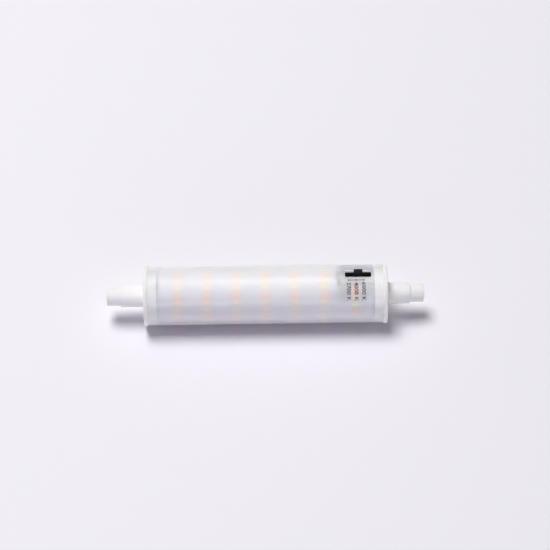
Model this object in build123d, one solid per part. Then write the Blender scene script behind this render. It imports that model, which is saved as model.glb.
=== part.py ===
from build123d import *
import math
import os

# Double-ended linear LED lamp. The lamp's axis is X, its middle is the origin, and the switch faces +Z.

# Driving dimensions of the outside, in millimetres
overall_length = 117.6
tube_diameter = 21.6
tube_wall = 1.0
flange_overhang = 0.3
flange_thickness = 1.4
flange_edge_round = 0.35
stub_diameter = 8.0
stub_length = 8.7
stub_root_round = 0.4
tip_diameter = 6.8
tip_length = 5.1
tip_edge_chamfer = 0.25

# Contact recess and contact
recess_diameter = 4.4
recess_depth = 1.7
contact_head_diameter = 3.6
contact_head_thickness = 0.8
contact_stem_diameter = 2.2
contact_stem_length = 7.6
solder_cup_diameter = 1.2
solder_cup_depth = 1.6
lead_cavity_diameter = 5.2
stem_bore_length = 5.5

# Inside of the end caps
sleeve_length = 3.6
sleeve_wall = 1.2
spigot_wall = 1.0
spigot_reach = 3.7
rail_overlap = 1.0
rail_lip = 0.9

# LED board and LEDs
led_board_thickness = 0.8
led_board_seam = 0.2
left_board_gap = 0.6
right_board_gap = 0.3
led_length = 3.2
led_width = 2.2
led_height = 0.6
phosphor_length = 2.7
phosphor_width = 1.7
phosphor_depth = 0.15
led_tube_gap = 0.35
least_led_gap = 0.4
led_ring_pitch = 10.8
first_ring_margin = 7.0
switch_ring_shift = 0.9
light_colours = ["warm", "neutral", "cool"]

# Slide switch
switch_travel = 3.0
knob_length = 3.2
knob_width = 2.0
knob_rise = 1.45
knob_edge_round = 0.3
slot_end_gap = 0.25
slot_side_gap = 0.6
slot_corner_round = 0.4
switch_body_width = 5.6
switch_body_height = 5.0
switch_side_wall = 0.5
switch_top_wall = 0.8
switch_base_thickness = 0.8
switch_drop = 0.15
switch_sleeve_gap = 0.45
foot_width = 3.8
foot_thickness = 1.3
wiper_width = 2.4
wiper_sheet = 0.2
wiper_gap = 0.03
terminal_length = 0.6
terminal_width = 1.2
terminal_rise = 0.1
terminal_tail = 0.6
notch_side_gap = 0.8
notch_end_gap = 2.5

# Driver board and its parts
driver_thickness = 1.0
driver_end_gap = 0.8
driver_corner_gap = 0.2
lead_hole_margin = 1.8
lead_zone = 4.0
tail_above_board = 0.15
hang_gap = 0.2
component_lead_diameter = 0.6
lead_bend_reach = 1.4
resistor_diameter = 2.6
resistor_length = 6.5
varistor_diameter = 7.0
varistor_thickness = 3.0
varistor_lead_spacing = 5.0
film_length = 7.5
film_width = 4.5
film_height = 7.0
film_lead_spacing = 5.0
bulk_diameter = 8.0
bulk_length = 12.0
bulk_lead_spacing = 3.5
output_diameter = 6.3
output_length = 9.0
output_lead_spacing = 2.5
can_edge_round = 0.5
choke_diameter = 7.0
choke_height = 7.0
choke_flange_thickness = 1.2
choke_post_diameter = 3.0
choke_winding_inset = 0.3
choke_lead_spacing = 4.0
rectifier_size = (4.7, 3.9, 2.4)
chip_size = (4.9, 3.9, 1.4)
diode_size = (4.3, 2.6, 2.1)
chip_resistor_size = (3.2, 1.6, 0.55)
chip_capacitor_size = (3.2, 1.6, 1.2)
leg_width = 0.5
leg_thickness = 0.2
leg_reach = 0.9
chip_leg_pitch = 1.27
rectifier_leg_pitch = 2.5

# Wiring
lead_diameter = 1.3
conductor_diameter = 0.8
bare_length = 0.5
lead_end_gap = 0.1
link_diameter = 0.6
link_overlap = 1.2
link_spacing = 3.0
links_from_end = 8.0

# Fits
slip_clearance = 0.05
running_clearance = 0.1
hole_clearance = 0.1

# Places worked out from the sizes above. The x of a cap is measured for the right-hand one.
half_length = overall_length / 2
step_x = half_length - tip_length
flange_out_x = step_x - stub_length
flange_in_x = flange_out_x - flange_thickness
sleeve_end_x = flange_in_x - sleeve_length
spigot_end_x = sleeve_end_x - spigot_reach
contact_face_x = half_length - recess_depth
contact_back_x = contact_face_x - contact_head_thickness
stem_end_x = contact_back_x - contact_stem_length
cavity_end_x = contact_back_x - stem_bore_length

tube_radius = tube_diameter / 2
flange_diameter = tube_diameter + 2 * flange_overhang
tube_bore_radius = tube_radius - tube_wall
sleeve_radius = tube_bore_radius - slip_clearance
led_top_radius = tube_bore_radius - led_tube_gap
led_board_radius = led_top_radius - led_height
led_board_bore_radius = led_board_radius - led_board_thickness
spigot_radius = led_board_bore_radius - slip_clearance
spigot_bore_radius = spigot_radius - spigot_wall

foot_length = switch_travel + terminal_length
switch_cavity_length = foot_length + 2 * switch_travel + 2 * running_clearance
switch_body_length = switch_cavity_length + 2 * switch_side_wall
switch_x = sleeve_end_x - switch_sleeve_gap - switch_body_length / 2
switch_left_x = switch_x - switch_body_length / 2
switch_top_z = led_board_radius - switch_drop
switch_base_z = switch_top_z - switch_body_height + switch_base_thickness
foot_top_z = switch_top_z - switch_top_wall - running_clearance
knob_top_z = tube_radius + knob_rise
notch_start_x = switch_left_x - notch_end_gap
notch_half_width = switch_body_width / 2 + notch_side_gap

driver_top_z = switch_top_z - switch_body_height
driver_bottom_z = driver_top_z - driver_thickness
driver_end_x = flange_in_x - driver_end_gap
driver_half_width = math.sqrt((spigot_bore_radius - driver_corner_gap) ** 2 - driver_top_z**2)
lead_hole_x = driver_end_x - lead_hole_margin
tail_top_z = driver_top_z + tail_above_board
hang_z = driver_bottom_z - hang_gap
top_part_z = tail_top_z + slip_clearance


def rod(diameter, start_x, end_x, y=0, z=0):
    """A round bar along the lamp's axis."""
    bar = Rot(0, 90, 0) * Cylinder(diameter / 2, end_x - start_x)
    return Pos((start_x + end_x) / 2, y, z) * bar


def post(diameter, low_z, high_z, x=0, y=0):
    """A round bar that stands along Z."""
    return Pos(x, y, (low_z + high_z) / 2) * Cylinder(diameter / 2, high_z - low_z)


def block(x_span, y_span, z_span):
    """A box between two values of x, of y and of z."""
    spans = (x_span, y_span, z_span)
    middle = [(low + high) / 2 for low, high in spans]
    return Pos(*middle) * Box(*[high - low for low, high in spans])


def edges_of_radius(shape, radius, x):
    """The round edges about the lamp's axis that have this radius and lie at this x."""
    circles = shape.edges().filter_by(GeomType.CIRCLE)
    return [e for e in circles if math.isclose(e.radius, radius) and math.isclose(e.center().X, x)]


def bent_wire(points, diameter, bend_radius):
    """A round wire along straight runs that meet in tangent bends."""
    path = FilletPolyline(*points, radius=bend_radius)
    section = Plane(origin=path @ 0, z_dir=path % 0) * Circle(diameter / 2)
    return sweep(section, path=path)


def save(node, *solids):
    """Writes one node, of one solid or of a group of separate solids."""
    shape = solids[0] if len(solids) == 1 else Compound(list(solids))
    export_step(shape, f"parts/{node}.step")


# Tube: an open cylinder, with a slot on top that the switch's knob moves in
def make_diffuser_tube():
    wall = rod(tube_diameter, -flange_in_x, flange_in_x)
    wall -= rod(2 * tube_bore_radius, -flange_in_x, flange_in_x)
    slot_length = knob_length + 2 * switch_travel + 2 * slot_end_gap
    slot_width = knob_width + 2 * slot_side_gap
    outline = RectangleRounded(slot_length, slot_width, slot_corner_round)
    return wall - Pos(switch_x, 0, 0) * extrude(outline, knob_top_z)


# End cap: flange, sleeve in the tube, spigot in the LED board, rails for the driver board, stepped stub
def make_end_cap():
    cap = rod(tip_diameter, step_x, half_length)
    cap += rod(stub_diameter, flange_out_x, step_x)
    cap += rod(flange_diameter, flange_in_x, flange_out_x)
    sleeve = rod(2 * sleeve_radius, sleeve_end_x, flange_in_x)
    sleeve -= rod(2 * (sleeve_radius - sleeve_wall), sleeve_end_x, flange_in_x)
    spigot = rod(2 * spigot_radius, spigot_end_x, flange_in_x)
    spigot_bore = rod(2 * spigot_bore_radius, spigot_end_x, flange_in_x)
    spigot -= spigot_bore
    switch_room = block(
        (spigot_end_x, sleeve_end_x), (-notch_half_width, notch_half_width), (0, tube_radius)
    )
    spigot -= switch_room
    cap += sleeve + spigot
    rail_bottom_z = driver_bottom_z - rail_lip
    rail_top_z = driver_top_z + rail_lip
    rail_inner_y = driver_half_width - rail_overlap
    rails = block(
        (spigot_end_x, flange_in_x), (-spigot_radius, spigot_radius), (rail_bottom_z, rail_top_z)
    )
    rails -= block(
        (spigot_end_x, flange_in_x), (-rail_inner_y, rail_inner_y), (rail_bottom_z, rail_top_z)
    )
    cap += rails & spigot_bore
    groove_y = driver_half_width + slip_clearance
    cap -= block(
        (spigot_end_x, flange_in_x),
        (-groove_y, groove_y),
        (driver_bottom_z - slip_clearance, driver_top_z + slip_clearance),
    )
    cap -= rod(recess_diameter, contact_face_x, half_length)
    cap -= rod(contact_head_diameter + 2 * slip_clearance, contact_back_x, contact_face_x)
    cap -= rod(contact_stem_diameter + 2 * slip_clearance, cavity_end_x, contact_back_x)
    cap -= rod(lead_cavity_diameter, flange_in_x, cavity_end_x)
    cap = fillet(edges_of_radius(cap, flange_diameter / 2, flange_out_x), flange_edge_round)
    cap = fillet(edges_of_radius(cap, stub_diameter / 2, flange_out_x), stub_root_round)
    corners = edges_of_radius(cap, tip_diameter / 2, half_length)
    corners += edges_of_radius(cap, stub_diameter / 2, step_x)
    return chamfer(corners, tip_edge_chamfer)


# Contact: a button flush with the recess's floor, on a stem with a solder cup for the lead
def make_contact():
    head = rod(contact_head_diameter, contact_back_x, contact_face_x)
    stem = rod(contact_stem_diameter, stem_end_x, contact_back_x)
    cup = rod(solder_cup_diameter, stem_end_x, stem_end_x + solder_cup_depth)
    return head + stem - cup


# LED board: a sheet rolled to a cylinder, whose edges meet on top and are cut away round the switch
def make_led_board():
    start_x = -sleeve_end_x + left_board_gap
    end_x = sleeve_end_x - right_board_gap
    board = rod(2 * led_board_radius, start_x, end_x)
    board -= rod(2 * led_board_bore_radius, start_x, end_x)
    board -= block(
        (notch_start_x, end_x), (-notch_half_width, notch_half_width), (0, led_board_radius)
    )
    half_seam = led_board_seam / 2
    return board - block((start_x, end_x), (-half_seam, half_seam), (0, led_board_radius))


led_room = led_width + least_led_gap
colour_count = len(light_colours)
leds_per_ring = colour_count * int(2 * math.pi * led_board_radius / led_room / colour_count)
led_turn = 360 / leds_per_ring


def led_places():
    """Each LED's x, its turn from the top towards the front, and its colour."""
    places = []
    ring_x = -sleeve_end_x + left_board_gap + first_ring_margin
    while ring_x + led_length / 2 < notch_start_x:
        for i in range(leds_per_ring):
            places.append((ring_x, (i + 0.5) * led_turn, light_colours[(i + 1) % colour_count]))
        ring_x += led_ring_pitch
    notch_turn = math.degrees(math.asin(notch_half_width / led_board_radius))
    led_half_turn = math.degrees(math.atan(led_room / 2 / led_board_radius))
    for i in range(leds_per_ring):
        turn = i * led_turn
        if min(turn, 360 - turn) > notch_turn + led_half_turn:
            colour = light_colours[(i + 1) % colour_count]
            places.append((switch_x - switch_ring_shift, turn, colour))
    return places


# One LED: a white package with a shallow pocket, which the phosphor fills
def make_led_package():
    span = (-led_length / 2, led_length / 2)
    side = (-led_width / 2, led_width / 2)
    return block(span, side, (led_board_radius, led_top_radius)) - make_phosphor()


def make_phosphor():
    span = (-phosphor_length / 2, phosphor_length / 2)
    side = (-phosphor_width / 2, phosphor_width / 2)
    return block(span, side, (led_top_radius - phosphor_depth, led_top_radius))


def placed(led, x, turn):
    return Pos(x, 0, 0) * Rot(turn, 0, 0) * led


# Slide switch: a shell open below, a base that carries the terminals, and a slider with a wiper
def make_switch_housing():
    half_width = switch_body_width / 2
    half_cavity = switch_cavity_length / 2
    inner_half_width = half_width - switch_side_wall
    shell = block(
        (switch_left_x, switch_left_x + switch_body_length),
        (-half_width, half_width),
        (driver_top_z, switch_top_z),
    )
    shell -= block(
        (switch_x - half_cavity, switch_x + half_cavity),
        (-inner_half_width, inner_half_width),
        (driver_top_z, switch_top_z - switch_top_wall),
    )
    half_slot = knob_length / 2 + switch_travel + running_clearance
    half_slot_width = knob_width / 2 + running_clearance
    return shell - block(
        (switch_x - half_slot, switch_x + half_slot),
        (-half_slot_width, half_slot_width),
        (driver_top_z, switch_top_z),
    )


def terminal_places():
    return [switch_x + (i - 1.5) * switch_travel for i in range(4)]


def make_terminal(x, room=0):
    """A flat terminal through the switch's base and the driver board, or the hole for one."""
    half_length_x = terminal_length / 2 + room
    half_width_y = terminal_width / 2 + room
    return block(
        (x - half_length_x, x + half_length_x),
        (-half_width_y, half_width_y),
        (driver_bottom_z - terminal_tail, switch_base_z + terminal_rise),
    )


def make_switch_base():
    half_cavity = switch_cavity_length / 2 - slip_clearance
    half_width = switch_body_width / 2 - switch_side_wall - slip_clearance
    base = block(
        (switch_x - half_cavity, switch_x + half_cavity),
        (-half_width, half_width),
        (driver_top_z, switch_base_z),
    )
    for x in terminal_places():
        base -= make_terminal(x, slip_clearance)
    return base


def make_switch_slider():
    half_foot = foot_length / 2
    foot = block(
        (switch_x - half_foot, switch_x + half_foot),
        (-foot_width / 2, foot_width / 2),
        (foot_top_z - foot_thickness, foot_top_z),
    )
    stem = block(
        (switch_x - knob_length / 2, switch_x + knob_length / 2),
        (-knob_width / 2, knob_width / 2),
        (foot_top_z, knob_top_z),
    )
    top_edges = stem.faces().sort_by(Axis.Z)[-1].edges()
    return foot + fillet(top_edges, knob_edge_round)


def make_switch_wiper():
    """A spring strip: a flat top under the slider's foot, and two legs that end on two terminals."""
    top_z = foot_top_z - foot_thickness
    contact_z = switch_base_z + terminal_rise + wiper_gap
    half_span = switch_travel / 2
    half_top = half_span / 2
    outline = [
        (-half_top, top_z),
        (half_top, top_z),
        (half_span + wiper_sheet / 2, contact_z),
        (half_span - wiper_sheet / 2, contact_z),
        (half_top - wiper_sheet / 2, top_z - wiper_sheet),
        (-half_top + wiper_sheet / 2, top_z - wiper_sheet),
        (-half_span + wiper_sheet / 2, contact_z),
        (-half_span - wiper_sheet / 2, contact_z),
    ]
    face = Plane.XZ * Polygon(*outline, align=None)
    return Pos(switch_x, 0, 0) * extrude(face, wiper_width / 2, both=True)


# Parts under the driver board, one after another from its left end, with equal gaps between them
under_lengths = {
    "fusible_resistor": resistor_length + 2 * lead_bend_reach,
    "varistor": varistor_thickness,
    "film_capacitor": film_length,
    "bulk_capacitor": bulk_length + lead_bend_reach,
    "choke": choke_diameter,
    "output_capacitor": output_length + lead_bend_reach,
}
under_start_x = -driver_end_x + lead_zone
under_gap = (switch_left_x - under_start_x - sum(under_lengths.values())) / len(under_lengths)
under_x = {}
for name, length in under_lengths.items():
    under_x[name] = under_start_x
    under_start_x += length + under_gap

component_leads = []
lead_holes = []


def add_straight_lead(x, y, low_z):
    component_leads.append(post(component_lead_diameter, low_z, tail_top_z, x, y))
    lead_holes.append((x, y, component_lead_diameter))


def add_bent_lead(body_x, hole_x, y, z):
    points = [(body_x, y, z), (hole_x, y, z), (hole_x, y, tail_top_z)]
    component_leads.append(bent_wire(points, component_lead_diameter, component_lead_diameter))
    lead_holes.append((hole_x, y, component_lead_diameter))


def make_fusible_resistor():
    start_x = under_x["fusible_resistor"] + lead_bend_reach
    end_x = start_x + resistor_length
    z = hang_z - resistor_diameter / 2
    bend = lead_bend_reach - component_lead_diameter
    add_bent_lead(start_x, start_x - bend, 0, z)
    add_bent_lead(end_x, end_x + bend, 0, z)
    body = rod(resistor_diameter, start_x, end_x, 0, z)
    return fillet(body.edges().filter_by(GeomType.CIRCLE), can_edge_round)


def make_varistor():
    start_x = under_x["varistor"]
    z = hang_z - varistor_diameter / 2
    x = start_x + varistor_thickness / 2
    half_spacing = varistor_lead_spacing / 2
    shoulder = math.sqrt((varistor_diameter / 2) ** 2 - half_spacing**2)
    disc = rod(varistor_diameter, start_x, start_x + varistor_thickness, 0, z)
    for y in (-half_spacing, half_spacing):
        add_straight_lead(x, y, z + shoulder)
        disc -= post(component_lead_diameter, z + shoulder, tail_top_z, x, y)
    return disc


def make_film_capacitor():
    start_x = under_x["film_capacitor"]
    middle_x = start_x + film_length / 2
    for side in (-1, 1):
        add_straight_lead(middle_x + side * film_lead_spacing / 2, 0, hang_z)
    body = block(
        (start_x, start_x + film_length),
        (-film_width / 2, film_width / 2),
        (hang_z - film_height, hang_z),
    )
    return fillet(body.edges(), can_edge_round)


def make_can_capacitor(name, diameter, length, lead_spacing):
    start_x = under_x[name] + lead_bend_reach
    z = hang_z - diameter / 2
    hole_x = start_x - lead_bend_reach + component_lead_diameter
    for side in (-1, 1):
        add_bent_lead(start_x, hole_x, side * lead_spacing / 2, z)
    can = rod(diameter, start_x, start_x + length, 0, z)
    return fillet(can.edges().filter_by(GeomType.CIRCLE), can_edge_round)


def make_choke():
    x = under_x["choke"] + choke_diameter / 2
    low_z = hang_z - choke_height
    core = post(choke_diameter, low_z, low_z + choke_flange_thickness, x)
    core += post(choke_diameter, hang_z - choke_flange_thickness, hang_z, x)
    core += post(choke_post_diameter, low_z, hang_z, x)
    inner_z = (low_z + choke_flange_thickness, hang_z - choke_flange_thickness)
    winding = post(choke_diameter - 2 * choke_winding_inset, *inner_z, x)
    winding -= post(choke_post_diameter, *inner_z, x)
    for side in (-1, 1):
        add_straight_lead(x, side * choke_lead_spacing / 2, hang_z)
    return core, winding


# Parts on top of the driver board, which lie flat on it
top_start_x = -driver_end_x + lead_zone
top_part_sizes = [rectifier_size, chip_size, diode_size]
top_part_lengths = [size[0] + 2 * leg_reach for size in top_part_sizes]
passive_columns = 5
passive_pitch = (switch_left_x - top_start_x - sum(top_part_lengths)) / (passive_columns + 1)
chip_legs = []


def add_leg_pair(x, size, along_x=False):
    """Two legs on opposite sides of a flat body: each leaves the body and lies on the board."""
    reach_from = size[0] / 2 if along_x else size[1] / 2
    for side in (-1, 1):
        out = sorted((side * reach_from, side * (reach_from + leg_reach)))
        rise = sorted((side * reach_from, side * (reach_from + leg_thickness)))
        flat = (-leg_width / 2, leg_width / 2)
        foot_z = (driver_top_z, driver_top_z + leg_thickness)
        rise_z = (driver_top_z, top_part_z + size[2] / 2)
        if along_x:
            leg = block(out, flat, foot_z) + block(rise, flat, rise_z)
        else:
            leg = block(flat, out, foot_z) + block(flat, rise, rise_z)
        chip_legs.append(Pos(x, 0, 0) * leg)


def make_flat_body(x, size):
    return Pos(x, 0, top_part_z + size[2] / 2) * Box(*size)


def make_top_parts():
    """The rectifier, the driver chip and the diode, and the small passives between them."""
    rectifier_x = top_start_x + passive_pitch + rectifier_size[0] / 2
    for side in (-1, 1):
        leg_x = rectifier_x + side * rectifier_leg_pitch / 2
        add_leg_pair(leg_x, rectifier_size)
    chip_x = rectifier_x + rectifier_size[0] / 2 + 2 * passive_pitch + chip_size[0] / 2
    for i in range(4):
        add_leg_pair(chip_x + (i - 1.5) * chip_leg_pitch, chip_size)
    diode_x = chip_x + chip_size[0] / 2 + 2 * passive_pitch + diode_size[0] / 2
    add_leg_pair(diode_x, diode_size, along_x=True)
    save("bridge_rectifier", make_flat_body(rectifier_x, rectifier_size))
    save("driver_chip", make_flat_body(chip_x, chip_size))
    save("freewheel_diode", make_flat_body(diode_x, diode_size))
    save("chip_legs", *chip_legs)
    row_y = driver_half_width - rail_overlap - chip_resistor_size[0] / 2
    first_gap_x = rectifier_x + rectifier_size[0] / 2 + passive_pitch
    second_gap_x = chip_x + chip_size[0] / 2 + passive_pitch
    resistors = []
    capacitors = []
    for gap_x in (first_gap_x, second_gap_x):
        for side in (-1, 1):
            resistors.append(make_passive(gap_x - chip_resistor_size[1], side * row_y, chip_resistor_size))
            capacitors.append(make_passive(gap_x + chip_resistor_size[1], side * row_y, chip_capacitor_size))
    save("chip_resistors", *resistors)
    save("chip_capacitors", *capacitors)


def make_passive(x, y, size):
    """A chip resistor or capacitor, set across the board."""
    return Pos(x, y, top_part_z + size[2] / 2) * Box(size[1], size[0], size[2])


# Mains leads: each from a contact's solder cup to a hole near the end of the driver board
def make_lead(side):
    start_x = stem_end_x - bare_length
    end_z = driver_bottom_z - lead_end_gap
    bend = end_z - bare_length
    points = [(side * start_x, 0, 0), (side * lead_hole_x, 0, 0), (side * lead_hole_x, 0, end_z)]
    return bent_wire(points, lead_diameter, bend)


def make_bare_ends(side):
    in_cup = sorted((side * (stem_end_x - bare_length), side * (stem_end_x + solder_cup_depth)))
    cup_end = rod(conductor_diameter, *in_cup)
    board_end = post(
        conductor_diameter, driver_bottom_z - lead_end_gap, tail_top_z, side * lead_hole_x
    )
    return [cup_end, board_end]


# Links: short pins from the driver board's edges to the LED board, one common and one for each colour
def make_links():
    links = []
    z = driver_top_z + link_diameter / 2
    outer_y = math.sqrt(led_board_bore_radius**2 - (z + link_diameter / 2) ** 2)
    inner_y = driver_half_width - link_overlap
    first_x = -driver_end_x + links_from_end + spigot_reach
    for i in range(2):
        for side in (-1, 1):
            pin = Rot(90, 0, 0) * Cylinder(link_diameter / 2, outer_y - inner_y)
            middle_y = side * (inner_y + outer_y) / 2
            links.append(Pos(first_x + i * link_spacing, middle_y, z) * pin)
    return links


# Driver board: a flat strip between the caps, with a hole for every lead and terminal
def make_driver_board():
    board = block(
        (-driver_end_x, driver_end_x),
        (-driver_half_width, driver_half_width),
        (driver_bottom_z, driver_top_z),
    )
    for x, y, diameter in lead_holes:
        board -= post(diameter + 2 * hole_clearance, driver_bottom_z, driver_top_z, x, y)
    for x in terminal_places():
        board -= make_terminal(x, slip_clearance)
    for side in (-1, 1):
        hole = conductor_diameter + 2 * hole_clearance
        board -= post(hole, driver_bottom_z, driver_top_z, side * lead_hole_x)
    return board


def main():
    os.makedirs("parts", exist_ok=True)
    turned_round = Rot(0, 0, 180)
    cap = make_end_cap()
    contact = make_contact()
    save("diffuser_tube", make_diffuser_tube())
    save("right_end_cap", cap)
    save("left_end_cap", turned_round * cap)
    save("right_contact", contact)
    save("left_contact", turned_round * contact)

    save("led_board", make_led_board())
    package = make_led_package()
    phosphor = make_phosphor()
    places = led_places()
    save("led_packages", *[placed(package, x, turn) for x, turn, colour in places])
    for name in light_colours:
        dots = [placed(phosphor, x, turn) for x, turn, colour in places if colour == name]
        save(f"{name}_phosphor", *dots)

    save("switch_housing", make_switch_housing())
    save("switch_base", make_switch_base())
    save("switch_terminals", *[make_terminal(x) for x in terminal_places()])
    save("switch_slider", make_switch_slider())
    save("switch_wiper", make_switch_wiper())

    save("fusible_resistor", make_fusible_resistor())
    save("varistor", make_varistor())
    save("film_capacitor", make_film_capacitor())
    bulk = make_can_capacitor("bulk_capacitor", bulk_diameter, bulk_length, bulk_lead_spacing)
    save("bulk_capacitor", bulk)
    output = make_can_capacitor("output_capacitor", output_diameter, output_length, output_lead_spacing)
    save("output_capacitor", output)
    core, winding = make_choke()
    save("choke_core", core)
    save("choke_winding", winding)
    save("component_leads", *component_leads)
    make_top_parts()
    save("driver_board", make_driver_board())
    save("led_board_links", *make_links())

    save("left_lead", make_lead(-1))
    save("right_lead", make_lead(1))
    save("lead_conductors", *make_bare_ends(-1), *make_bare_ends(1))


main()
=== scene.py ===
# %% [markdown]
# # A linear LED lamp with a cap at each end
# The lamp is a milky plastic tube over a rolled strip of LEDs. Each end has a white cap with a
# stepped stub, and a small black switch on the tube picks the colour of the light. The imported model
# gives every piece its place and its size, so it is loaded first, and the looks are built around it
# in metres.

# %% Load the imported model
import math

import bmesh
import bpy
from mathutils import Matrix, Vector


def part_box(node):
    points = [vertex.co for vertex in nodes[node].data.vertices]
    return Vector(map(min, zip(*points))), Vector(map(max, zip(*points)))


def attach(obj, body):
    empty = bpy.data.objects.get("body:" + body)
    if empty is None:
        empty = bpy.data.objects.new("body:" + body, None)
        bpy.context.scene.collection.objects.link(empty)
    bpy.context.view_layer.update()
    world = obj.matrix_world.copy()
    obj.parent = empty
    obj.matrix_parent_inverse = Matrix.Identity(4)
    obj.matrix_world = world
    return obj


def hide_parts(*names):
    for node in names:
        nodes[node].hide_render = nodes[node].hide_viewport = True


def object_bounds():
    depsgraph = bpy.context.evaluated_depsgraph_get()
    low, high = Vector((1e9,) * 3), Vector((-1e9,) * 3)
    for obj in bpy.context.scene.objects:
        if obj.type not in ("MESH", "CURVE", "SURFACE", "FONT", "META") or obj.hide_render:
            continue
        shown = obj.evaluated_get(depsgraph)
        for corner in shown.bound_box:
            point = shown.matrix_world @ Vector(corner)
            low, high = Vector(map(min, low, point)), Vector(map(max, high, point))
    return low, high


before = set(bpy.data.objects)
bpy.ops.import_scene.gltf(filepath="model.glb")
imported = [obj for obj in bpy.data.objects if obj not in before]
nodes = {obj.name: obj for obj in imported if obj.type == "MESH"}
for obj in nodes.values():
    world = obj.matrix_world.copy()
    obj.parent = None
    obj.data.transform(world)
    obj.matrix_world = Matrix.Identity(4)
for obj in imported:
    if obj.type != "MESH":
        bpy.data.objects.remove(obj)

cad_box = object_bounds()
MM = 0.001
cad_size = cad_box[1] - cad_box[0]
print("lamp, in mm:", [round(size / MM, 2) for size in cad_size], "from", len(nodes), "nodes")

# %% [markdown]
# The camera comes first, because every later choice is judged through it. The picture is 550 pixels
# square. The lamp's length in pixels and its real length give the lens once a distance is chosen,
# and where its middle shows in the picture says how far the camera aims past it. The lamp's right
# end lies a little further away, so the camera also stands slightly to the left.

# %% Camera
PICTURE_SIDE = 550
LAMP_PIXELS = 316.4
MIDDLE_PIXEL = (265.4, 294.7)
CAMERA_DISTANCE = 0.75
CAMERA_ELEVATION = math.radians(46.1)
CAMERA_TURN = math.radians(1.05)
CLIP_START = 0.01

metres_per_pixel = cad_size.x / LAMP_PIXELS
back = Vector((
    -math.sin(CAMERA_TURN) * math.cos(CAMERA_ELEVATION),
    -math.cos(CAMERA_TURN) * math.cos(CAMERA_ELEVATION),
    math.sin(CAMERA_ELEVATION),
))
right = Vector((math.cos(CAMERA_TURN), -math.sin(CAMERA_TURN), 0))
up = back.cross(right)
aim = right * (PICTURE_SIDE / 2 - MIDDLE_PIXEL[0]) + up * (MIDDLE_PIXEL[1] - PICTURE_SIDE / 2)

camera_data = bpy.data.cameras.new("camera")
camera_data.lens = camera_data.sensor_width * CAMERA_DISTANCE / metres_per_pixel / PICTURE_SIDE
camera_data.clip_start = CLIP_START
camera = bpy.data.objects.new("camera", camera_data)
bpy.context.scene.collection.objects.link(camera)
turn = Matrix((right, up, back)).transposed().to_4x4()
camera.matrix_world = Matrix.Translation(aim * metres_per_pixel + back * CAMERA_DISTANCE) @ turn
bpy.context.scene.camera = camera
print("lens, in mm:", round(camera_data.lens, 1))

# %% [markdown]
# Modelling by hand means a primitive, a selection and an operator, again and again. An operator
# acts on all that is selected, so the first helper clears the selection, and another one selects
# faces, edges or vertices by their place. A modifier is applied at once, so that every finished
# piece is a plain mesh. Three values say what counts as the same place, in metres, how level a face
# has to be to count as a top, and how many steps make a rounded corner.

# %% Helpers for modelling
NEAR = 1e-6
LEVEL = 0.99
CORNER_STEPS = 4


def deselect():
    """Leaves edit mode and clears the selection."""
    if bpy.context.mode != "OBJECT":
        bpy.ops.object.mode_set(mode="OBJECT")
    bpy.ops.object.select_all(action="DESELECT")


def make_active(piece):
    deselect()
    piece.select_set(True)
    bpy.context.view_layer.objects.active = piece


def start_edit(piece):
    """Opens a piece in edit mode, with everything in it selected."""
    make_active(piece)
    bpy.ops.object.mode_set(mode="EDIT")
    bpy.ops.mesh.select_mode(type="VERT")
    bpy.ops.mesh.select_all(action="SELECT")


def pick(piece, kind, test):
    """In edit mode, selects the vertices, edges or faces that pass the test."""
    bpy.ops.mesh.select_mode(type=kind)
    bpy.ops.mesh.select_all(action="DESELECT")
    mesh = bmesh.from_edit_mesh(piece.data)
    mesh.normal_update()
    parts = {"VERT": mesh.verts, "EDGE": mesh.edges, "FACE": mesh.faces}[kind]
    for part in parts:
        if test(part):
            part.select_set(True)
    bmesh.update_edit_mesh(piece.data)


def upright(edge):
    return abs(edge.verts[0].co.z - edge.verts[1].co.z) > NEAR


def level(face):
    return face.normal.z > LEVEL


def apply_modifier(piece, kind, **settings):
    make_active(piece)
    modifier = piece.modifiers.new(kind, kind)
    for name, value in settings.items():
        setattr(modifier, name, value)
    bpy.ops.object.modifier_apply(modifier=modifier.name)


def combine(piece, tool, operation):
    """Cuts the tool out of a piece, or joins it on, and takes the tool away."""
    apply_modifier(piece, "BOOLEAN", object=tool, operation=operation, solver="EXACT")
    bpy.data.objects.remove(tool)


def new_block(name, x_span, y_span, z_span):
    """A block between two values of x, of y and of z, in millimetres."""
    spans = (x_span, y_span, z_span)
    deselect()
    bpy.ops.mesh.primitive_cube_add(
        size=1,
        location=[(low + high) / 2 * MM for low, high in spans],
        scale=[(high - low) * MM for low, high in spans],
    )
    piece = bpy.context.object
    piece.name = name
    bpy.ops.object.transform_apply(location=True, rotation=True, scale=True)
    return piece


def new_cylinder(name, radius, x_span, sides, ends="NOTHING"):
    """A cylinder on the lamp's axis, in millimetres, open at its ends or filled."""
    deselect()
    bpy.ops.mesh.primitive_cylinder_add(
        vertices=sides,
        radius=radius * MM,
        depth=(x_span[1] - x_span[0]) * MM,
        end_fill_type=ends,
        location=(sum(x_span) / 2 * MM, 0, 0),
        rotation=(0, math.pi / 2, 0),
    )
    piece = bpy.context.object
    piece.name = name
    bpy.ops.object.transform_apply(location=True, rotation=True, scale=True)
    return piece


def bisect_at(piece, place, normal, **settings):
    """Cuts a piece along a plane, given in millimetres."""
    start_edit(piece)
    bpy.ops.mesh.bisect(plane_co=[value * MM for value in place], plane_no=normal, **settings)
    deselect()


def round_edges(piece, width, segments=2, angle=30):
    """Bevels the edges that are sharper than the angle, then shades the rest smooth."""
    apply_modifier(
        piece,
        "BEVEL",
        width=width * MM,
        segments=segments,
        limit_method="ANGLE",
        angle_limit=math.radians(angle),
    )
    smooth(piece, angle)


def smooth(piece, angle=30):
    make_active(piece)
    bpy.ops.object.shade_smooth_by_angle(angle=math.radians(angle))
    deselect()


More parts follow.
